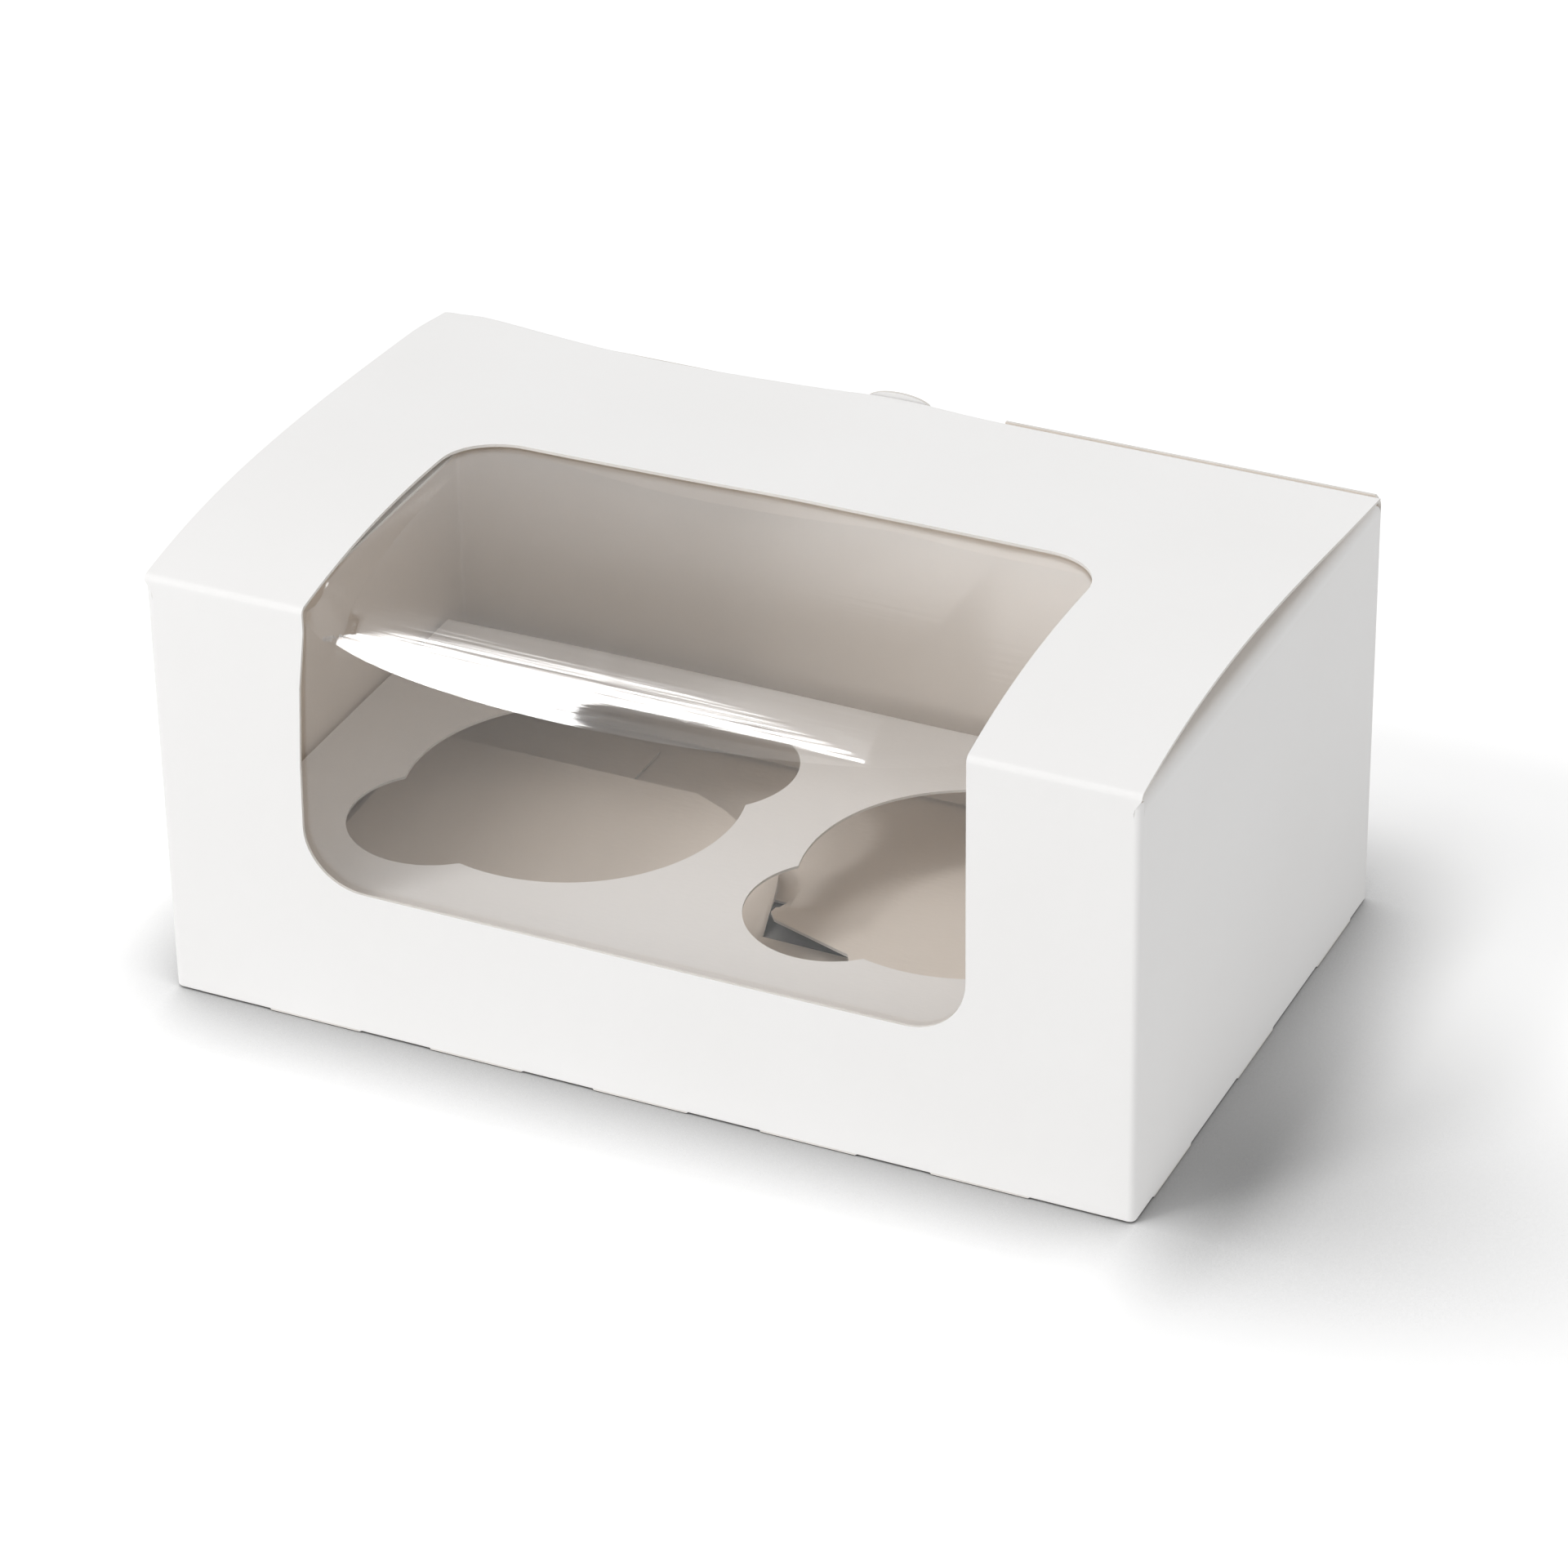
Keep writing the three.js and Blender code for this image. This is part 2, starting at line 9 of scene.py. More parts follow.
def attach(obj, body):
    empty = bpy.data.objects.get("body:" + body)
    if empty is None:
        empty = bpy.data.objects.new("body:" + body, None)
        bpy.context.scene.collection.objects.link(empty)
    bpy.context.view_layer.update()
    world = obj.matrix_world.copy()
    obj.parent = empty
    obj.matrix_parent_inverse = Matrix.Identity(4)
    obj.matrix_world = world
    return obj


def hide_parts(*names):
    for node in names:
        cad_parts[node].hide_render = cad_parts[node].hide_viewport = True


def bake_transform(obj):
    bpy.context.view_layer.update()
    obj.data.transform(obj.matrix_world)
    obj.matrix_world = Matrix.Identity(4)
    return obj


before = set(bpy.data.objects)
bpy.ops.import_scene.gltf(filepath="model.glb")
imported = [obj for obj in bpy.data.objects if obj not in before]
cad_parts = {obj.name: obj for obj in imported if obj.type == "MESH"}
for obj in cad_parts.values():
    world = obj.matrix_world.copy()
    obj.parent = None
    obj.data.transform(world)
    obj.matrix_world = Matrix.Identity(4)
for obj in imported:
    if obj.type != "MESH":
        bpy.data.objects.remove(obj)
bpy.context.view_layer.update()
mm = 0.001

# Sizes in millimetres, shared by every panel of the folded sheet
box = {
    "width": 165.0,
    "depth": 101.0,
    "height": 75.0,
    "board": 0.5,
    "cornerRadius": 1.2,
    "wallEnd": 71.0,  # the creased strips start here
    "creaseEnd": 2.5,  # the lid starts this far behind the front crease
}
halfWidth = box["width"] / 2
halfDepth = box["depth"] / 2
board = box["board"]
window = {"width": 110.0, "low": 26.0, "reach": 56.0, "radius": 10.0}


def ease(value):
    value = np.clip(value, 0.0, 1.0)
    return value * value * (3.0 - 2.0 * value)


def hump(value, centre, width):
    return np.exp(-(((value - centre) / width) ** 2))


def spread(stops, step):
    # even stations no further apart than step, with every stop among them
    found = [stops[0]]
    for low, high in zip(stops, stops[1:]):
        count = max(1, math.ceil((high - low) / step))
        found += [low + (high - low) * i / count for i in range(1, count + 1)]
    return np.array(found)


class Flow:
    # one socket's value on its way through a material, with the arithmetic that it needs
    def __init__(self, tree, socket):
        self.tree = tree
        self.socket = socket

    def worked(self, operation, left, right):
        node = self.tree.nodes.new("ShaderNodeMath")
        node.operation = operation
        for place, value in zip(node.inputs, (left, right)):
            if isinstance(value, Flow):
                self.tree.links.new(value.socket, place)
            else:
                place.default_value = value
        return Flow(self.tree, node.outputs[0])

    def __add__(self, other):
        return self.worked("ADD", self, other)

    def __radd__(self, other):
        return self.worked("ADD", other, self)

    def __sub__(self, other):
        return self.worked("SUBTRACT", self, other)

    def __rsub__(self, other):
        return self.worked("SUBTRACT", other, self)

    def __mul__(self, other):
        return self.worked("MULTIPLY", self, other)

    def __rmul__(self, other):
        return self.worked("MULTIPLY", other, self)

    def __pow__(self, other):
        return self.worked("POWER", self, other)


class Finish:
    # a material with its node tree
    def __init__(self, name):
        self.material = bpy.data.materials.new(name)
        self.material.use_nodes = True
        self.tree = self.material.node_tree
        self.tree.nodes.clear()

    def node(self, kind, settings=None, values=None, output=0):
        node = self.tree.nodes.new("ShaderNode" + kind)
        for name, value in (settings or {}).items():
            if name == "stops":
                ramp = node.color_ramp.elements
                while len(ramp) < len(value):
                    ramp.new(0.5)
                for element, (position, colour) in zip(ramp, value):
                    element.position = position
                    element.color = (*colour, 1.0)
            else:
                setattr(node, name, value)
        for name, value in (values or {}).items():
            place = node.inputs[name]
            if isinstance(value, Flow):
                self.tree.links.new(value.socket, place)
            else:
                place.default_value = value
        return Flow(self.tree, node.outputs[output])

    def place(self):
        return self.node("TexCoord", output=3)

    def noise(self, scale, detail=3.0, roughness=0.5, stretch=(1.0, 1.0, 1.0)):
        spot = self.node("Mapping", values={"Vector": self.place(), "Scale": stretch})
        return self.node("TexNoise", values={"Vector": spot, "Scale": scale, "Detail": detail, "Roughness": roughness})

    def done(self, shader):
        out = self.tree.nodes.new("ShaderNodeOutputMaterial")
        self.tree.links.new(shader.socket, out.inputs["Surface"])
        return self.material


def cardFinish(name, colour, shade, roughness, gloss, grain, fibre):
    # pale board: cloudy tint, fine fibre bump, a slightly uneven coat
    card = Finish(name)
    cloud = card.noise(28.0, 4.0)
    speck = card.noise(900.0, 2.0, 0.6)
    mix = card.node("MapRange", values={"Value": cloud, "From Min": 0.35, "From Max": 0.7})
    tint = card.node("Mix", {"data_type": "RGBA"}, {6: (*colour, 1.0), 7: (*shade, 1.0), 0: mix * 0.8 + speck * 0.2}, 2)
    fine = card.noise(grain, 3.0, 0.55, (1.0, 2.2, 1.0))
    relief = card.node("Bump", values={"Height": fine * 0.7 + cloud * 0.3, "Strength": fibre, "Distance": 0.00012})
    shader = card.node("BsdfPrincipled", values={
        "Base Color": tint,
        "Roughness": roughness + speck * 0.12,
        "Specular IOR Level": gloss,
        "Normal": relief,
    })
    return card.done(shader)


def filmFinish(name, waviness):
    # clear film: see-through, with the gloss of its two faces and fine streaks along its bend
    film = Finish(name)
    facing = film.node("LayerWeight", values={"Blend": 0.5}, output=1)
    gloss = 0.05 + 0.9 * facing ** 5.0
    wave = film.noise(22.0, 2.0, 0.4)
    streak = film.noise(800.0, 2.0, 0.5, (0.02, 1.0, 1.0))
    relief = film.node("Bump", values={"Height": wave + 0.15 * streak, "Strength": waviness, "Distance": 0.002})
    along = film.node("SeparateXYZ", values={"Vector": film.place()}, output=1)
    soft = {"interpolation_type": "SMOOTHSTEP"}
    blur = {"Value": along, "From Min": -0.047, "From Max": -0.037, "To Min": 0.16, "To Max": 0.26}
    rough = film.node("MapRange", soft, blur)  # the slack part under the lid blurs what it mirrors
    clear = film.node("BsdfTransparent", values={"Color": (1.0, 1.0, 1.0, 1.0)})
    shine = film.node("BsdfGlossy", values={"Color": (1.0, 1.0, 1.0, 1.0), "Roughness": rough, "Normal": relief})
    shader = film.node("MixShader", values={0: gloss, 1: clear, 2: shine})
    return film.done(shader)


outerCard = cardFinish("whiteCoatedCard", (0.90, 0.893, 0.885), (0.885, 0.876, 0.866), 0.42, 0.35, 700.0, 0.25)
innerCard = cardFinish("uncoatedCard", (0.92, 0.845, 0.765), (0.90, 0.82, 0.735), 0.75, 0.2, 500.0, 0.5)
cutCard = cardFinish("cutCardEdge", (0.80, 0.775, 0.74), (0.70, 0.67, 0.63), 0.85, 0.1, 1400.0, 0.9)
insertCard = cardFinish("insertCard", (0.95, 0.925, 0.90), (0.935, 0.908, 0.88), 0.6, 0.3, 600.0, 0.35)
clearFilm = filmFinish("clearWindowFilm", 0.25)
cardSlots = [outerCard, innerCard, cutCard]
insertSlots = [insertCard, innerCard, cutCard]
print("materials ready")


def thicken(outer, thickness, loop=False):
    # rows of points on a sheet's outer face; the inner face lies a thickness behind it
    rows = np.asarray(outer, float)
    across = np.roll(rows, -1, 0) - np.roll(rows, 1, 0) if loop else np.gradient(rows, axis=0)
    normal = np.cross(across, np.gradient(rows, axis=1))
    normal /= np.linalg.norm(normal, axis=2, keepdims=True)
    count, columns = rows.shape[:2]
    points = np.concatenate([rows.reshape(-1, 3), (rows - normal * thickness).reshape(-1, 3)])
    back = count * columns
    faces = []
    kinds = []

    def add(kind, *corners):
        faces.append(corners)
        kinds.append(kind)

    for i in range(count if loop else count - 1):
        a = i * columns
        b = ((i + 1) % count) * columns
        for j in range(columns - 1):
            add(0, a + j, b + j, b + j + 1, a + j + 1)
            add(1, back + a + j, back + a + j + 1, back + b + j + 1, back + b + j)
        end = columns - 1
        add(2, back + a, back + b, b, a)
        add(2, back + a + end, a + end, b + end, back + b + end)
    if not loop:
        last = (count - 1) * columns
        for j in range(columns - 1):
            add(2, back + j, j, j + 1, back + j + 1)
            add(2, back + last + j, back + last + j + 1, last + j + 1, last + j)
    return points, faces, kinds


def sheetObject(name, outer, thickness, slots, loop=False):
    points, faces, kinds = thicken(outer, thickness, loop)
    mesh = bpy.data.meshes.new(name)
    mesh.from_pydata((points * mm).tolist(), [], faces)
    for material in slots:
        mesh.materials.append(material)
    mesh.polygons.foreach_set("material_index", kinds)
    piece = bpy.data.objects.new(name, mesh)
    bpy.context.scene.collection.objects.link(piece)
    return piece


def prismObject(outline, lowEnd, highEnd, slots):
    # a cutter: one outline placed at its two ends
    count = len(outline)
    points = [lowEnd(a, b) for a, b in outline] + [highEnd(a, b) for a, b in outline]
    faces = [list(range(count))[::-1], list(range(count, 2 * count))]
    faces += [[i, (i + 1) % count, count + (i + 1) % count, count + i] for i in range(count)]
    mesh = bpy.data.meshes.new("cutter")
    mesh.from_pydata([(x * mm, y * mm, z * mm) for x, y, z in points], [], faces)
    for material in slots:
        mesh.materials.append(material)
    mesh.polygons.foreach_set("material_index", [2] * len(faces))
    shaped = bmesh.new()
    shaped.from_mesh(mesh)
    bmesh.ops.recalc_face_normals(shaped, faces=shaped.faces)
    shaped.to_mesh(mesh)
    shaped.free()
    cutter = bpy.data.objects.new("cutter", mesh)
    bpy.context.scene.collection.objects.link(cutter)
    return cutter


def cutAway(piece, cutter):
    modifier = piece.modifiers.new("cut", "BOOLEAN")
    modifier.object = cutter
    modifier.operation = "DIFFERENCE"
    modifier.solver = "EXACT"
    seen = piece.evaluated_get(bpy.context.evaluated_depsgraph_get())
    mesh = bpy.data.meshes.new_from_object(seen)
    piece.modifiers.clear()
    piece.data = mesh
    bpy.data.objects.remove(cutter)


def joined(name, parts, slots, sharp=38):
    # several sheets as one piece, smooth except at its cut edges
    whole = bmesh.new()
    for part in parts:
        whole.from_mesh(part.data)
    mesh = bpy.data.meshes.new(name)
    whole.to_mesh(mesh)
    whole.free()
    for material in slots:
        mesh.materials.append(material)
    for part in parts:
        bpy.data.objects.remove(part)
    mesh.shade_smooth()
    mesh.set_sharp_from_angle(angle=math.radians(sharp))
    piece = bpy.data.objects.new(name, mesh)
    bpy.context.scene.collection.objects.link(piece)
    return piece


def roundedWindow(width, low, high, radius):
    # outline of the window's part on one panel, open past its upper end
    half = width / 2
    turn = [math.radians(90 * i / 12) for i in range(13)]
    right = [(half - radius + radius * math.sin(a), low + radius - radius * math.cos(a)) for a in turn]
    left = [(-x, z) for x, z in reversed(right)]
    return right + [(half, high), (-half, high)] + left


walls = {
    "step": 3.0,
    "bow": (0.35, 0.25, 0.3, 0.25),  # front, right, back, left
    "cornerPostTop": 73.6,
    "backTop": 74.1,
    "backTopLeft": 72.6,
    "windowSlant": 2.1,  # the window's left edge leaves the upright on its way down
    "notchWidth": 37.0,
    "notchDepth": 9.0,
    "creaseRadius": 0.55,
    "cutFront": (5, 28.6, 16.0),  # count, pitch and length of the cut stretches
    "cutSide": (3, 35.0, 15.0),
}


def cutStretches(length, cuts):
    count, pitch, stretch = cuts
    middles = [length / 2 + (i - (count - 1) / 2) * pitch for i in range(count)]
    return [(m - stretch / 2, m + stretch / 2) for m in middles]


def wallStations():
    radius = box["cornerRadius"]
    long = box["width"] - 2 * radius
    short = box["depth"] - 2 * radius
    sides = [
        (long, (-long / 2, -halfDepth), (1, 0)),
        (short, (halfWidth, -short / 2), (0, 1)),
        (long, (long / 2, halfDepth), (-1, 0)),
        (short, (-halfWidth, short / 2), (0, -1)),
    ]
    found = []
    for panel, (length, start, way) in enumerate(sides):
        cuts = cutStretches(length, walls["cutFront"] if panel % 2 == 0 else walls["cutSide"])
        stops = {0.0, 0.4, length - 0.4, length}
        for low, high in cuts:
            stops |= {low - 0.3, low, high, high + 0.3}
        out = (way[1], -way[0])
        for s in spread(sorted(stops), walls["step"]):
            free = any(low <= s <= high for low, high in cuts)
            place = (start[0] + way[0] * s, start[1] + way[1] * s)
            found.append((place, out, panel, s / length, 0.0 if free else 1.0))
        centre = (place[0] - out[0] * radius, place[1] - out[1] * radius)
        for step in range(1, 8):
            angle = math.radians(90 * step / 8)
            turn = (
                out[0] * math.cos(angle) + way[0] * math.sin(angle),
                out[1] * math.cos(angle) + way[1] * math.sin(angle),
            )
            place = (centre[0] + turn[0] * radius, centre[1] + turn[1] * radius)
            found.append((place, turn, panel + 0.5, step / 8, 1.0))
    return found


def wallTop(panel, share):
    if panel == 0 or panel in (1, 3):
        return box["wallEnd"]
    if panel == 2:
        return walls["backTop"] if share < 0.5 else walls["backTopLeft"]
    if panel == 1.5:
        return box["wallEnd"] + 1.4 + (walls["backTop"] - box["wallEnd"] - 1.4) * share
    if panel == 2.5:
        return walls["backTopLeft"] - (walls["backTopLeft"] - box["wallEnd"]) * share
    return walls["cornerPostTop"]


def makeWalls():
    foot = walls["creaseRadius"]
    heights = np.concatenate([foot * np.array([0, 0.08, 0.25, 0.5, 0.75, 1.0]), spread([1.5, 68.0], 3.5)])
    rows = []
    for place, out, panel, share, creased in wallStations():
        row = []
        for z in [*heights, 69.5, wallTop(panel, share)]:
            tuck = foot - math.sqrt(foot**2 - (foot - min(z, foot)) ** 2)
            bow = 0.0
            if panel == int(panel):
                bow = walls["bow"][int(panel)] * math.sin(math.pi * share) * math.sin(math.pi * min(z / 72, 1))
            shift = bow - tuck * creased
            row.append((place[0] + out[0] * shift, place[1] + out[1] * shift, z))
        rows.append(row)
    ring = sheetObject("walls", rows, board, cardSlots, loop=True)
    outline = roundedWindow(window["width"], window["low"], 90.0, window["radius"])
    slant = walls["windowSlant"]
    half = window["width"] / 2
    outline = [(x - slant, z) if x < 0 and z < 80 else (x, z) for x, z in outline]
    place = next(k for k, (x, z) in enumerate(outline) if x < 0 and z > 80) + 1
    outline[place:place] = [(-half, box["wallEnd"]), (-half - 0.55 * slant, 61.0), (-half - 0.9 * slant, 47.0)]
    cutAway(ring, prismObject(outline, lambda x, z: (x, -halfDepth - 5, z), lambda x, z: (x, -halfDepth + 5, z), cardSlots))
    notch = [
        (walls["notchWidth"] / 2 * math.cos(a), 74.9 + (walls["notchDepth"] + 0.3) * math.sin(a))
        for a in np.linspace(math.pi, 2 * math.pi, 40)
    ]
    notch += [(walls["notchWidth"] / 2, 80.0), (-walls["notchWidth"] / 2, 80.0)]
    cutAway(ring, prismObject(notch, lambda x, z: (x, halfDepth - 5, z), lambda x, z: (x, halfDepth + 5, z), cardSlots))
    return ring


lid = {
    "rise": 4.3,
    "skew": 0.6,
    "drop": 0.6,  # of the rear crease below the front one
    "back": 49.7,
    "backRadius": 1.2,
    "frontRadius": 1.3,
    "tuck": 22.0,
    "tuckLean": 2.8,
    "tuckHalf": 80.5,
    "tuckTaper": 3.0,
    "tuckCorner": 8.0,
    "cornerInset": 2.0,  # the rear left corner is worn round and a little bent down
    "cornerDrop": 0.6,
    "tabWidth": 11.0,
    "tabHeight": 0.5,
}


def lidRise(x):
    return lid["rise"] + 0.7 * hump(x, 30.0, 45.0) - 0.4 * hump(x, -82.0, 25.0)


def lidSag(x):
    # the rear crease isn't straight: it dips left of the middle and humps at the finger tab
    return -1.0 * hump(x, -42.0, 24.0) + 0.7 * hump(x, 0.0, 11.0) + 0.9 * hump(x, -82.0, 16.0)


def lidHeight(y, x):
    t = np.clip((y + halfDepth) / (lid["back"] - lid["backRadius"] + halfDepth), 0.0, 1.0)
    bowed = lid["skew"] * 6.75 * t * (1 - t) ** 2 + (1 - lid["skew"]) * 4 * t * (1 - t)
    bent = lid["cornerDrop"] * ease((-x - halfWidth + 8.0) / 8.0) * ease((t - 0.88) / 0.12)
    return box["height"] - lid["drop"] * t + lidRise(x) * bowed + lidSag(x) * ease((t - 0.35) / 0.65) - bent


def frontCrease(x, start, end):
    # from the front panel over the rounded crease to the lid, one column of points
    radius = lid["frontRadius"]
    slope = math.atan2(lidHeight(-halfDepth + 2, x) - lidHeight(-halfDepth, x), 2)
    tangent = radius * math.tan((math.pi / 2 - slope) / 2)
    low = box["height"] - tangent
    points = [(-halfDepth, start + (low - start) * i / 4) for i in range(4)]
    for i in range(13):
        angle = (math.pi / 2 - slope) * i / 12
        points.append((-halfDepth + radius * (1 - math.cos(angle)), low + radius * math.sin(angle)))
    for y in np.linspace(-halfDepth + 1.4, -halfDepth + end, 4):
        points.append((y, lidHeight(y, x)))
    return points


def makeCreaseStrip(side):
    edge = halfWidth - box["cornerRadius"]
    rows = []
    for share in np.linspace(0, 1, 12):
        x = window["width"] / 2 + share * (edge - window["width"] / 2)
        column = frontCrease(side * x, box["wallEnd"], box["creaseEnd"])
        row = []
        for y, z in column:
            reach = ease((z - 72.0) / 2.4) * box["cornerRadius"] * share
            row.append((side * (x + reach), y, z))
        rows.append(row)
    return sheetObject("strip", rows if side > 0 else rows[::-1], board, cardSlots)


def lidColumn(x):
    start = -halfDepth + box["creaseEnd"]
    end = lid["back"] - lid["backRadius"]
    points = [(y, lidHeight(y, x)) for y in np.linspace(start, end, 36)]
    lean = math.asin(lid["tuckLean"] / lid["tuck"])
    top = lidHeight(end, x)
    radius = lid["backRadius"]
    for i in range(1, 9):
        angle = (math.pi / 2 + lean) * i / 8
        points.append((end + radius * math.sin(angle), top - radius * (1 - math.cos(angle))))
    y, z = points[-1]
    for share in np.linspace(0, 1, 12)[1:]:
        points.append((y - share * lid["tuck"] * math.sin(lean), z - share * lid["tuck"] * math.cos(lean)))
    return points


def lidHalf(index):
    # half the sheet's width at each station of the section: the tuck flap is narrower
    flat = 36 + 3
    if index < flat:
        return halfWidth
    share = (index - flat) / (36 + 8 + 11 - 1 - flat)
    down = share * lid["tuck"]
    corner = max(0.0, down - lid["tuck"] + lid["tuckCorner"])
    inset = lid["tuckCorner"] - math.sqrt(max(0.0, lid["tuckCorner"] ** 2 - corner**2))
    return lid["tuckHalf"] - lid["tuckTaper"] * share - inset


def makeLid():
    shares = np.sin(np.linspace(-1, 1, 61) * math.pi / 2 * 0.999)
    shares = 0.75 * np.linspace(-1, 1, 61) + 0.25 * shares
    shares /= shares[-1]
    rows = []
    for share in shares:
        column = lidColumn(share * halfWidth)
        worn = lid["cornerInset"] * ease((-share - 0.8) / 0.2)
        row = []
        for k, (y, z) in enumerate(column):
            inset = worn * min(1.0, max(0.0, (k - 32) / 6) ** 2.5)
            row.append((share * lidHalf(k) + (inset if k < 39 else 0.0), y, z))
        rows.append(row)
    sheetPiece = sheetObject("lid", rows, board, cardSlots)
    outline = roundedWindow(window["width"], 0.0, 2 * window["reach"], window["radius"])
    toLid = [(x, -halfDepth + window["reach"] - b) for x, b in outline]
    cutAway(sheetPiece, prismObject(toLid, lambda x, y: (x, y, 68.0), lambda x, y: (x, y, 90.0), cardSlots))
    return sheetPiece


def makeFingerTab():
    end = lid["back"]
    low = lidHeight(end - 1.2, 0.0) - 1.4
    rows = []
    for share in np.linspace(-1, 1, 21):
        rise = (1.4 + lid["tabHeight"]) * math.sqrt(max(0.0, 1 - share**2)) + 0.05
        x = share * lid["tabWidth"] / 2
        rows.append([(x, end - 0.1, low), (x, end - 0.1, low + rise / 2), (x, end - 0.15, low + rise)])
    tab = sheetObject("tab", rows, board, cardSlots)
    for face in tab.data.polygons:
        face.material_index = 2 if face.material_index == 2 else 0
    return tab


sideFlaps = {
    "top": 73.6,
    "radius": 1.9,
    "reach": 24.0,
    "taper": 9.0,
    "frontGap": 2.0,
    "backGap": 3.5,
}


def makeSideFold(side):
    radius = sideFlaps["radius"]
    top = sideFlaps["top"]
    profile = [(halfWidth, box["wallEnd"]), (halfWidth, (box["wallEnd"] + top - radius) / 2)]
    for i in range(11):
        angle = math.pi / 2 * i / 10
        profile.append((halfWidth - radius * (1 - math.cos(angle)), top - radius + radius * math.sin(angle)))
    for share in np.linspace(0, 1, 9)[1:]:
        x = halfWidth - radius - share * (sideFlaps["reach"] - radius)
        profile.append((x, top - 0.25 * share))
    straight = halfDepth - box["cornerRadius"]
    columns = []
    for x, z in profile:
        along = (halfWidth - x) / sideFlaps["reach"]
        narrow = ease((halfWidth - x) / radius)
        low = -straight + narrow * (sideFlaps["frontGap"] - box["cornerRadius"]) + along**1.3 * sideFlaps["taper"]
        high = straight - narrow * (sideFlaps["backGap"] - box["cornerRadius"]) - along**1.3 * sideFlaps["taper"]
        columns.append((side * x, z, low, high))
    rows = []
    for share in np.linspace(0, 1, 36):
        sway = 0.12 * math.sin(5.0 * share + side)
        row = []
        for x, z, low, high in columns:
            y = low + (high - low) * share
            lift = sway * ease((z - 72.0) / 1.5)
            row.append((x, y, z + lift))
        rows.append(row)
    return sheetObject("fold", rows if side > 0 else rows[::-1], board, cardSlots)


glueFlap = {"reach": 12.0, "taper": 6.0, "endGap": 4.0}


def makeGlueFlap():
    # glued inside the right end of the back panel
    outer = halfWidth - board - 0.15
    rows = []
    for share in np.linspace(0, 1, 8):
        y = halfDepth - board * 0.5 - share * glueFlap["reach"]
        low = glueFlap["endGap"] + glueFlap["taper"] * share
        high = 69.0 - glueFlap["taper"] * share
        rows.append([(outer, y, z) for z in np.linspace(low, high, 12)])
    return sheetObject("glue", rows[::-1], board, cardSlots)


bottom = {
    "inset": 4.5,
    "frontReach": 78.7,
    "backReach": 78.5,
    "lowFront": 50.0,
    "lowBack": 40.0,
    "lock": 3.0,
    "lift": 5.2,
    "sideReach": 40.0,
}


def bottomLift(inward):
    # how far a long flap rises to pass over the side flap below it
    return np.interp(inward, [0, 1, 17, bottom["frontReach"]], [0, 0.02, 1.7, bottom["lift"]])


def wideFlap(stations, reachAt, levelAt, fromBack):
    shares = np.concatenate([np.linspace(0, 0.1, 4), np.linspace(0.1, 1, 26)[1:]])
    rows = []
    for x in stations:
        row = []
        for share in shares:
            inward = 0.3 + share * (reachAt(x) - 0.3)
            y = halfDepth - inward if fromBack else -halfDepth + inward
            row.append((x, y, levelAt(x, inward)))
        rows.append(row)
    return sheetObject("flap", rows if fromBack else rows[::-1], board, cardSlots)


def makeFrontBottomFlap():
    edge = halfWidth - bottom["inset"]
    lock = -bottom["lock"]
    outlineX = [-edge, -edge + 1.5, -27.5, -21.0, lock - 3.5, lock - 0.6, lock, lock + 0.4, edge - 2, edge]
    full = bottom["frontReach"]
    outlineY = [full - 1.5, full, full - 0.2, full - 3, full - 13, full - 20, full - 28, bottom["lowFront"]]
    outlineY += [bottom["lowFront"] - 1.5, bottom["lowFront"] - 4]

    def level(x, inward):
        across = ease((x - lock + 11) / 11)
        along = ease((inward - bottom["lowFront"]) / (box["depth"] - bottom["lowBack"] - bottom["lowFront"]))
        share = 0.0 if x > lock else 1 - across * (1 - along)
        return float(bottomLift(inward) * share)

    stations = spread(outlineX, 2.5)
    return wideFlap(stations, lambda x: float(np.interp(x, outlineX, outlineY)), level, False)


def makeBackBottomFlap():
    edge = halfWidth - bottom["inset"]
    lock = -bottom["lock"] + 0.6
    tip = box["depth"] - bottom["lowFront"] - 3
    outlineX = [-edge, -edge + 2, lock - 0.4, lock, lock + 0.5, lock + 2.0, lock + 6, 15, 24, 30, edge - 1.5, edge]
    low = bottom["lowBack"]
    full = bottom["backReach"]
    outlineY = [low - 4, low, low, tip - 2, tip + 0.6, tip + 2.6, tip + 4, tip + 8, full - 6, full, full, full - 1.5]

    def level(x, inward):
        across = ease((lock + 11 - x) / 11)
        along = ease((inward - low) / (tip - low))
        share = 0.0 if x < lock else 1 - across * (1 - along)
        return float(bottomLift(inward) * share)

    stations = spread(outlineX, 2.5)
    return wideFlap(stations, lambda x: float(np.interp(x, outlineX, outlineY)), level, True)


def makeSideBottomFlap(side):
    inwards = [0.3, 0.6, 1.0, 2.5, 4.5, 12.0, 20.0, 28.0, 36.0, 39.2, 40.0]
    near = np.interp(inwards, [0, 1, 4.5, 40], [3.5, 4.5, 18, 30])
    far = np.interp(inwards, [0, 1, 38.5, 40], [97.3, 97, 96.5, 95])
    level = np.interp(inwards, [0, 1, 4.5, 40], [0, 0.05, 0.8, 0.8])
    rows = []
    for inward, low, high, z in zip(inwards, near, far, level):
        row = []
        for share in np.linspace(0, 1, 24):
            along = low + share * (high - low)
            x = side * (halfWidth - inward)
            y = -halfDepth + along if side < 0 else halfDepth - along
            row.append((x, y, z))
        rows.append(row)
    return sheetObject("flap", rows[::-1], board, cardSlots)


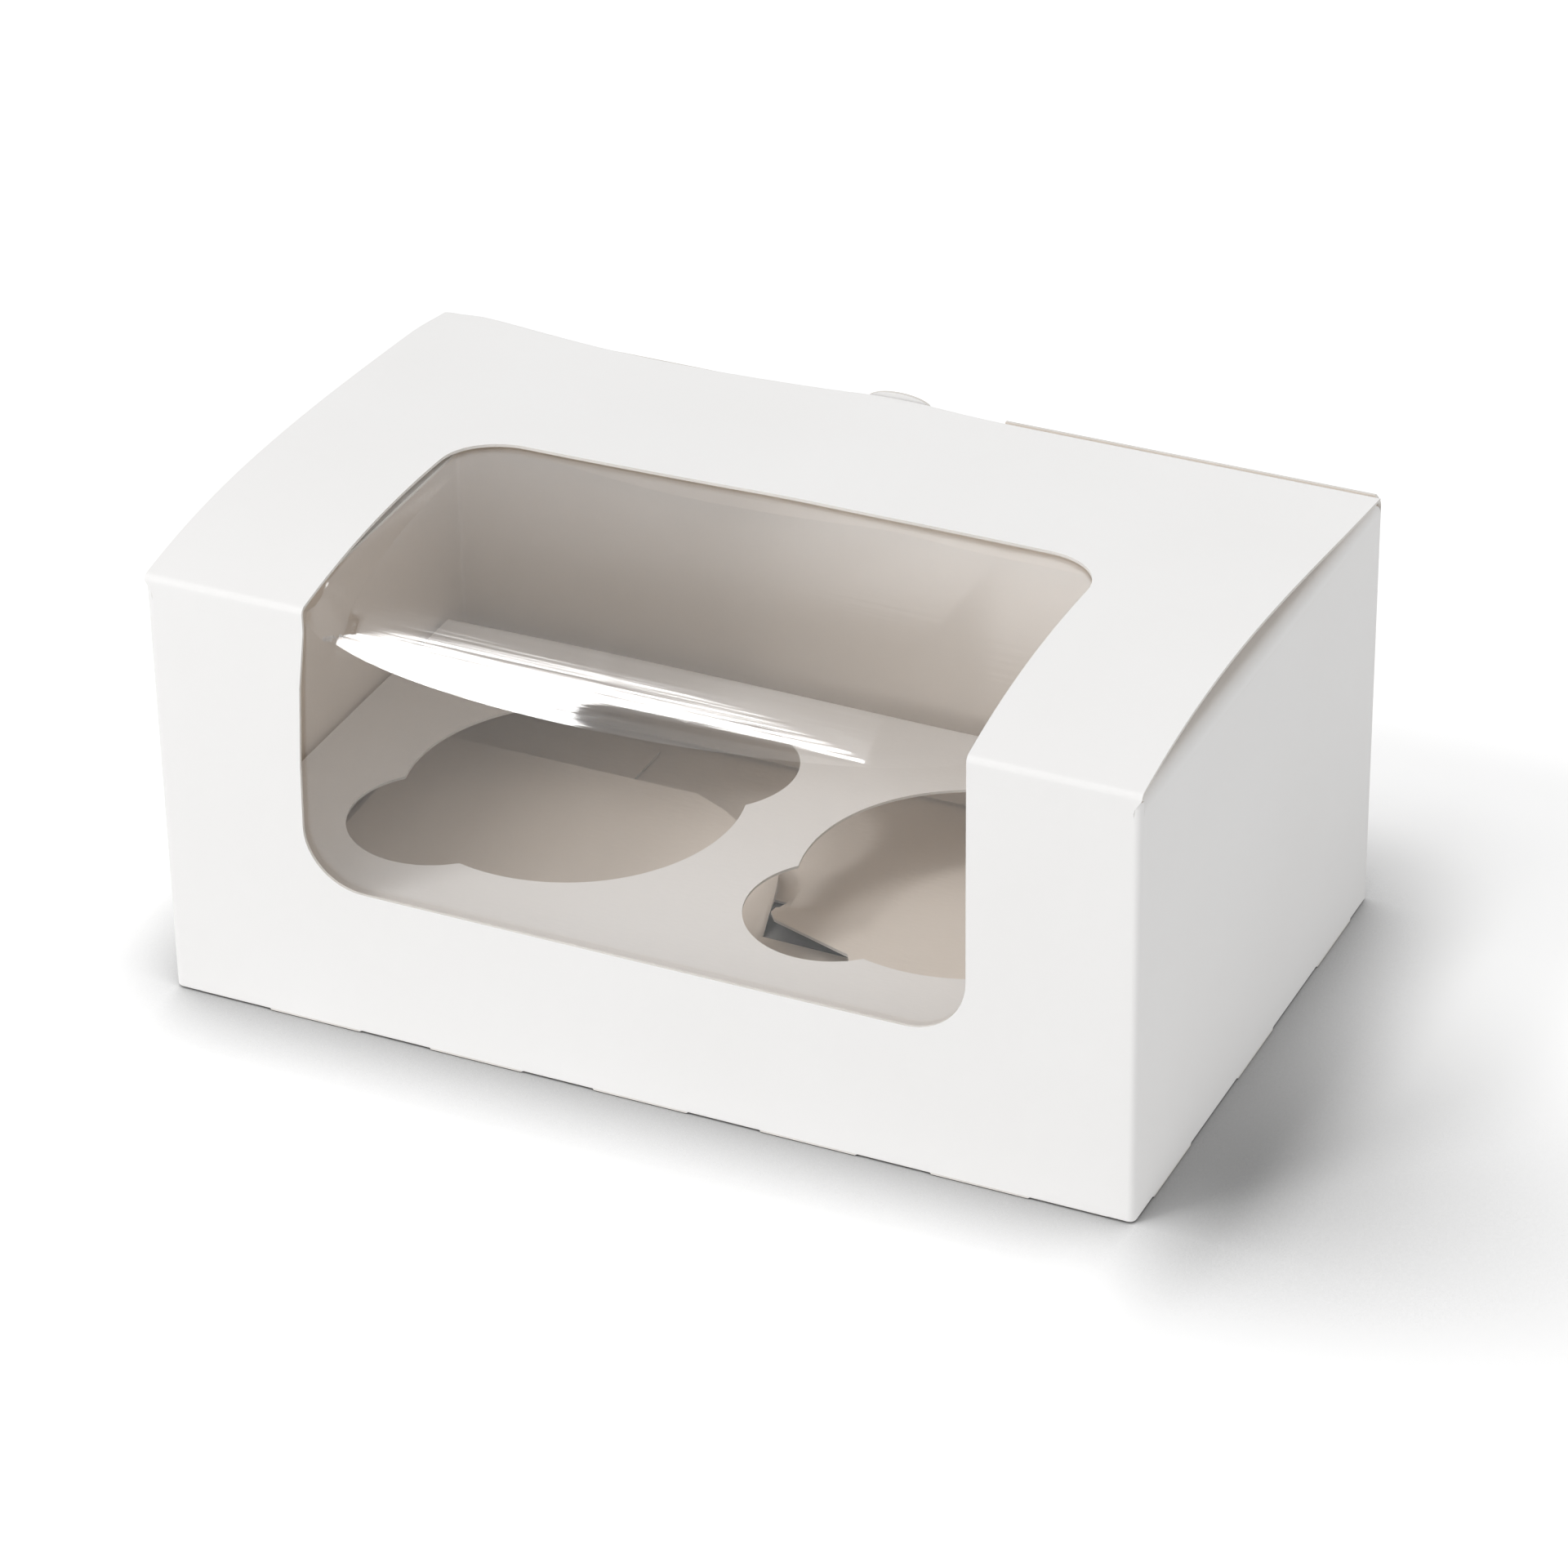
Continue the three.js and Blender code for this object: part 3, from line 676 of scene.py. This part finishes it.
def makeCutEdges(material):
    # raw board at the slits of the bottom folds, in a row along each side
    tree = bpy.data.node_groups.new("cutEdges", "GeometryNodeTree")
    tree.interface.new_socket("Geometry", in_out="OUTPUT", socket_type="NodeSocketGeometry")
    sides = {"Front": (walls["cutFront"], 0, halfDepth), "Side": (walls["cutSide"], 90, halfWidth)}
    values = {}
    for name, (cuts, turn, away) in sides.items():
        for label, kind, value in zip(("count", "pitch", "length"), ("Int", "Float", "Float"), cuts):
            socket = tree.interface.new_socket(f"{name} {label}", in_out="INPUT", socket_type="NodeSocket" + kind)
            values[f"{name} {label}"] = (socket.identifier, value if kind == "Int" else value * mm)

    def node(kind, settings=None, **links):
        made = tree.nodes.new(kind)
        for label, value in (settings or {}).items():
            setattr(made, label, value)
        for label, value in links.items():
            place = made.inputs[label.replace("_", " ")]
            for source in value if isinstance(value, list) else [value]:
                if isinstance(source, bpy.types.NodeSocket):
                    tree.links.new(source, place)
                else:
                    place.default_value = source
        return made

    given = tree.nodes.new("NodeGroupInput").outputs
    rows = []
    for name, (cuts, turn, away) in sides.items():
        step = node("ShaderNodeCombineXYZ", X=given[name + " pitch"])
        line = node("GeometryNodeMeshLine", Count=given[name + " count"], Offset=step.outputs[0])
        size = node("ShaderNodeCombineXYZ", X=given[name + " length"], Y=(board + 0.04) * mm, Z=0.3 * mm)
        strip = node("GeometryNodeMeshCube", Size=size.outputs[0])
        placed = node("GeometryNodeInstanceOnPoints", Points=line.outputs[0], Instance=strip.outputs[0])
        start = -(cuts[0] - 1) / 2 * cuts[1] * mm
        for side in (-1, 1):
            offset = (start, side * (away - board / 2) * mm, 0.13 * mm)
            moved = node("GeometryNodeTransform", Geometry=placed.outputs[0], Translation=offset)
            turned = node("GeometryNodeTransform", Geometry=moved.outputs[0], Rotation=(0, 0, math.radians(turn)))
            rows.append(turned.outputs[0])
    whole = node("GeometryNodeJoinGeometry", Geometry=rows)
    real = node("GeometryNodeRealizeInstances", Geometry=whole.outputs[0])
    done = node("GeometryNodeSetMaterial", Geometry=real.outputs[0], Material=material)
    tree.links.new(done.outputs[0], tree.nodes.new("NodeGroupOutput").inputs[0])

    holder = bpy.data.objects.new("holder", bpy.data.meshes.new("holder"))
    bpy.context.scene.collection.objects.link(holder)
    modifier = holder.modifiers.new("cutEdges", "NODES")
    modifier.node_group = tree
    for identifier, value in values.values():
        modifier[identifier] = value
    seen = holder.evaluated_get(bpy.context.evaluated_depsgraph_get())
    mesh = bpy.data.meshes.new_from_object(seen)
    bpy.data.objects.remove(holder)
    piece = bpy.data.objects.new("cutEdges", mesh)
    bpy.context.scene.collection.objects.link(piece)
    return piece


cartonParts = [makeWalls(), makeSideFold(-1), makeSideFold(1), makeGlueFlap()]
cartonParts += [makeFrontBottomFlap(), makeBackBottomFlap(), makeSideBottomFlap(-1), makeSideBottomFlap(1)]
cartonPiece = joined("foldedCarton", cartonParts, cardSlots)
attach(cartonPiece, "carton")
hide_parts("carton")
edgePiece = makeCutEdges(cutCard)
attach(edgePiece, "carton")
print("carton made")

lidPiece = joined("bowedLid", [makeLid(), makeFingerTab()], cardSlots)
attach(lidPiece, "lid")
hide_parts("lid")
print("lid made")

creasePiece = joined("frontCrease", [makeCreaseStrip(-1), makeCreaseStrip(1)], cardSlots)
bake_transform(creasePiece)
print("front crease made")


insert = {
    "board": 0.45,
    "top": 20.0,
    "halfX": 80.8,
    "foldY": 43.0,
    "footY": 49.4,
    "footZ": 1.6,
    "foldRadius": 1.3,
    "hole": 28.2,
    "holeShift": -0.6,
    "spacing": 70.4,
    "lobe": 14.5,
    "lobeOffset": 23.5,
}


def insertProfile():
    rise = insert["top"] - insert["footZ"]
    splay = math.atan2(insert["footY"] - insert["foldY"], rise)
    radius = insert["foldRadius"]
    centreY = insert["foldY"] - radius
    centreZ = insert["top"] - radius
    turn = np.linspace(splay, math.pi / 2, 9)
    arc = [(centreY + radius * math.cos(a), centreZ + radius * math.sin(a)) for a in turn]
    arcStart = arc[0]
    leg = [
        (insert["footY"] + (arcStart[0] - insert["footY"]) * s, insert["footZ"] + (arcStart[1] - insert["footZ"]) * s)
        for s in np.linspace(0, 1, 8)[:-1]
    ]
    half = leg + arc
    flat = [(y, insert["top"]) for y in np.linspace(centreY, -centreY, 34)[1:-1]]
    back = half
    front = [(-y, z) for y, z in half]
    return front + [(y, z) for y, z in reversed(flat)] + back[::-1]


def insertHoles(side):
    centre = side * insert["spacing"] / 2 + insert["holeShift"]
    shift = insert["lobeOffset"] * math.sqrt(0.5)
    circles = [(centre, 0.0, insert["hole"])]
    circles += [(centre + s * shift, s * shift, insert["lobe"]) for s in (-1, 1)]
    for x, y, radius in circles:
        steps = np.linspace(0, 2 * math.pi, 97)[:-1]
        yield [(x + radius * math.cos(a), y + radius * math.sin(a)) for a in steps]


def makeInsert():
    profile = insertProfile()
    rows = []
    for x in spread([-insert["halfX"], insert["halfX"]], 3.0):
        row = []
        for y, z in profile:
            warp = 0.25 * math.sin(x * 0.05 + 0.6) * math.cos(y * 0.06) * (z > 15)
            row.append((x, y, z - 0.25 + warp))
        rows.append(row)
    shelf = sheetObject("shelf", rows, insert["board"], insertSlots)
    for side in (-1, 1):
        for outline in insertHoles(side):
            cutAway(shelf, prismObject(outline, lambda x, y: (x, y, 15.0), lambda x, y: (x, y, 25.0), insertSlots))
    return shelf


insertPiece = joined("cakeInsert", [makeInsert()], insertSlots)
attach(insertPiece, "carton")
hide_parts("insert")
print("insert made")


film = {
    "thickness": 0.08,
    "margin": 7.5,
    "low": 18.5,
    "inside": 0.9,  # behind the front panel's outer face
    "underLid": 0.68,
    "ends": 0.8,
    "depth": 9.2,
    "left": 0.5,
    "right": 0.75,
    "pinches": (-50.8, 37.9),  # where the bend has buckled inwards
    "bulge": 0.4,
    "least": 0.8,
    "dimple": 1.4,
    "follow": 0.7,
    "lean": 44.5,  # steepness in degrees, from the bend up to where it fades into the lid
    "upper": 41.7,
    "crest": 39.0,
    "fade": 33.0,
    "swing": 10.0,  # of the shallow fold along the right half's lower edge
    "swingStart": -10.5,
}


def filmSag(x):
    # how far below the crease the film bends, on the front panel's plane
    share = np.clip(x / window["width"] + 0.5, 0.0, 1.0)
    deepest = film["left"] / (film["left"] + film["right"])
    peak = deepest ** film["left"] * (1 - deepest) ** film["right"]
    return film["ends"] + film["depth"] * share ** film["left"] * (1 - share) ** film["right"] / peak


def filmDent(x):
    # how far inwards the bend lies there: deepest at the two pinches, bulging between them
    left, right = film["pinches"]
    half = window["width"] / 2
    held = np.clip(x, left, right)
    deep = film["follow"] * (film["ends"] + film["depth"] - filmSag(held)) / 1.7 - film["bulge"]
    if x < left:
        deep *= max(0.0, (x + half) / (left + half))
    if x > right:
        deep *= max(0.0, (half - x) / (half - right))
    return float(deep)


def filmSlopes(x):
    # the film above its bend, as lengths of run, each with its steps and its steepness from start to end
    left, right = film["pinches"]
    share = np.clip((x - left) / (right - left), 0.0, 1.0)
    width = 6.4 * (1 - abs(2 * share**0.8 - 1) ** 2.6) + film["least"]
    lean = film["lean"]
    swing = film["swing"] * float(ease((x - film["swingStart"]) / 7.0))
    low, high = lean + swing, lean - 1.5 * swing
    parts = [(0.2, 4, low, low), (0.19, 4, high, high), (0.03, 1, high, lean)]
    parts += [(0.43, 7, lean, film["upper"]), (0.15, 3, film["upper"], film["crest"])]
    pieces = [(width * part, *rest) for part, *rest in parts]
    return pieces + [(1.7, 3, film["crest"], film["fade"])]


def filmDimple(x, y):
    # a small buckle behind the left pinch, with a steep rear side
    rear = -44.9
    within = ease((x + 57.5) / 1.5) * (1 - ease((x + 51.0) / 3.0)) * ease((y + 50.5) / 3.0)
    return film["dimple"] * float(within * (1 - ease((y - rear) / 2.6)))


def filmColumn(x):
    dent = filmDent(x)
    front = -halfDepth + film["inside"]
    bendY = front + dent
    bendZ = box["height"] - 0.35 - float(filmSag(x)) - 0.705 * dent
    points = []
    for share in np.linspace(0, 1, 30):
        z = film["low"] + (bendZ - film["low"]) * share**0.8
        near = math.exp(-(bendZ - z) / 5.0) if dent > 0 else float(ease((z - 40.0) / (bendZ - 40.0)))
        points.append((front + dent * near, z))

    def under(y):
        return float(lidHeight(y, x)) - film["underLid"]

    y, z = bendY, bendZ
    for run, count, first, last in filmSlopes(x):
        for i in range(count):
            steepness = first + (last - first) * (i + 0.5) / count
            y += run / count
            z += run / count * math.tan(math.radians(steepness))
            points.append((y, min(z, under(y))))
    gap = max(0.0, under(y) - z)
    flat = (under(y + 1.0) - under(y - 1.0)) / 2
    settle = max(0.4, gap / (math.tan(math.radians(film["fade"])) - flat))
    end = -halfDepth + window["reach"] + film["margin"]
    for share in np.linspace(0, 1, 81)[1:]:
        beyond = (end - y) * share**1.6
        points.append((y + beyond, under(y + beyond) - gap * math.exp(-beyond / settle)))
    return [(y, z - filmDimple(x, y) if z > 70.0 else z) for y, z in points]


def makeFilm():
    half = window["width"] / 2
    left, right = film["pinches"]
    stops = [-half - film["margin"], -half - 2.5, left, left + 6, -16, -9, right - 8, right, half, half + film["margin"]]
    steps = [4.0, 0.35, 0.5, 1.5, 0.7, 1.5, 0.6, 1.0, 4.0]
    stations = [stops[0]]
    for low, high, step in zip(stops, stops[1:], steps):
        stations += list(spread([low, high], step))[1:]
    rows = [[(x, y, z) for y, z in filmColumn(x)] for x in stations]
    return sheetObject("film", rows, film["thickness"], [clearFilm, clearFilm, clearFilm])


filmPiece = joined("windowFilm", [makeFilm()], [clearFilm, clearFilm, clearFilm], sharp=16)
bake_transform(filmPiece)
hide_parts("window_film_front", "window_film_lid")
print("film made")


def floorFinish():
    # the camera sees the same floor whiter, with painted shade: a painted contact shadow all round the box, and a
    # deeper painted shadow where the box closes it in beside its right side
    floor = Finish("paleFloorWithPaintedShadow")
    seen = floor.node("LightPath", output=0)
    plain = floor.node("BsdfDiffuse", values={"Color": (0.9, 0.9, 0.9, 1.0)})
    # painted contact shade: ambient occlusion close to the box darkens the floor's colour
    paintedContactShade = floor.node("AmbientOcclusion", {"samples": 8}, {"Distance": 0.025}, 1)
    closed = floor.node("AmbientOcclusion", {"samples": 8}, {"Distance": 0.12}, 1)
    place = floor.place()
    across = floor.node("SeparateXYZ", values={"Vector": place}, output=0)
    along = floor.node("SeparateXYZ", values={"Vector": place}, output=1)
    soft = {"interpolation_type": "SMOOTHSTEP"}
    # painted shadow right of the box, masked by place, fading out towards the back and deeper where ambient occlusion
    # finds the floor closed in
    side = floor.node("MapRange", soft, {"Value": across, "From Min": 0.076, "From Max": 0.096})
    begun = floor.node("MapRange", soft, {"Value": along, "From Min": -0.1, "From Max": -0.045})
    ended = floor.node("MapRange", soft, {"Value": along, "From Min": -0.045, "From Max": 0.046})
    shade = side * begun * (1.0 - ended) * (1.0 - closed ** 2.35)
    white = 1.22 * paintedContactShade ** 1.25 * (1.0 - shade)
    tint = floor.node("CombineColor", values={"Red": white, "Green": white, "Blue": white})
    shown = floor.node("BsdfDiffuse", values={"Color": tint})
    shader = floor.node("MixShader", values={0: seen, 1: plain, 2: shown})
    return floor.done(shader)


def makeFloor():
    mesh = bpy.data.meshes.new("floor")
    reach = 4.0
    low = -0.0002
    mesh.from_pydata([(-reach, -reach, low), (reach, -reach, low), (reach, reach, low), (-reach, reach, low)], [], [(0, 1, 2, 3)])
    mesh.materials.append(floorFinish())
    floor = bpy.data.objects.new("floor", mesh)
    bpy.context.scene.collection.objects.link(floor)


lights = {
    "key": {"towards": (-0.36, -0.52, 0.77), "distance": 1.6, "size": (0.27, 0.24), "power": 3.8},
    "surround": {"towards": (-0.36, -0.52, 0.77), "distance": 1.62, "size": (1.2, 1.2), "power": 2.1},
    "top": {"towards": (-0.12, -0.28, 0.95), "distance": 1.6, "size": (0.5, 0.5), "power": 3.8},
    "front": {"towards": (-0.45, -0.87, 0.2), "distance": 1.6, "size": (0.7, 0.5), "power": 4.2},
    "right": {"towards": (0.93, 0.1, 0.35), "distance": 1.6, "size": (1.6, 1.5), "power": 1.9},
    "back": {"towards": (-0.03, 0.81, 0.46), "distance": 1.6, "size": (1.15, 0.85), "power": 3.3},
}


def addLight(name, settings):
    lamp = bpy.data.lights.new(name, "AREA")
    lamp.shape = "RECTANGLE"
    lamp.size, lamp.size_y = settings["size"]
    lamp.energy = settings["power"]
    body = bpy.data.objects.new(name, lamp)
    away = Vector(settings["towards"]).normalized()
    body.location = Vector((0, 0, 0.04)) + away * settings["distance"]
    body.rotation_euler = away.to_track_quat("Z", "Y").to_euler()
    bpy.context.scene.collection.objects.link(body)


def makeWorld(ambient):
    world = bpy.data.worlds.new("studio")
    world.use_nodes = True
    tree = world.node_tree
    tree.nodes.clear()
    rays = tree.nodes.new("ShaderNodeLightPath")
    seen = Flow(tree, rays.outputs["Is Camera Ray"]) + Flow(tree, rays.outputs["Is Glossy Ray"])
    seen = seen + Flow(tree, rays.outputs["Is Transmission Ray"])
    capped = seen.worked("MINIMUM", seen, 1.0)
    strength = ambient + (1.0 - ambient) * capped
    sky = tree.nodes.new("ShaderNodeBackground")
    sky.inputs["Color"].default_value = (1.0, 1.0, 1.0, 1.0)
    tree.links.new(strength.socket, sky.inputs["Strength"])
    out = tree.nodes.new("ShaderNodeOutputWorld")
    tree.links.new(sky.outputs[0], out.inputs["Surface"])
    bpy.context.scene.world = world


view = {
    "place": (355.33, -746.01, 526.04),
    "right": (0.907289, 0.420248, -0.014743),
    "up": (-0.205041, 0.472736, 0.857017),
    "lens": 139.32,
}


def makeCamera():
    camera = bpy.data.cameras.new("camera")
    camera.lens = view["lens"]
    camera.sensor_width = 36.0
    camera.clip_end = 20.0
    body = bpy.data.objects.new("camera", camera)
    right = Vector(view["right"]).normalized()
    up = Vector(view["up"]).normalized()
    turn = Matrix((right, up, right.cross(up))).transposed()
    body.matrix_world = Matrix.Translation(Vector(view["place"]) * mm) @ turn.to_4x4()
    bpy.context.scene.collection.objects.link(body)
    bpy.context.scene.camera = body


makeFloor()
for name, settings in lights.items():
    addLight(name, settings)
makeWorld(0.52)
makeCamera()
bpy.context.scene.view_settings.view_transform = "Standard"
print("floor, lights and camera set")
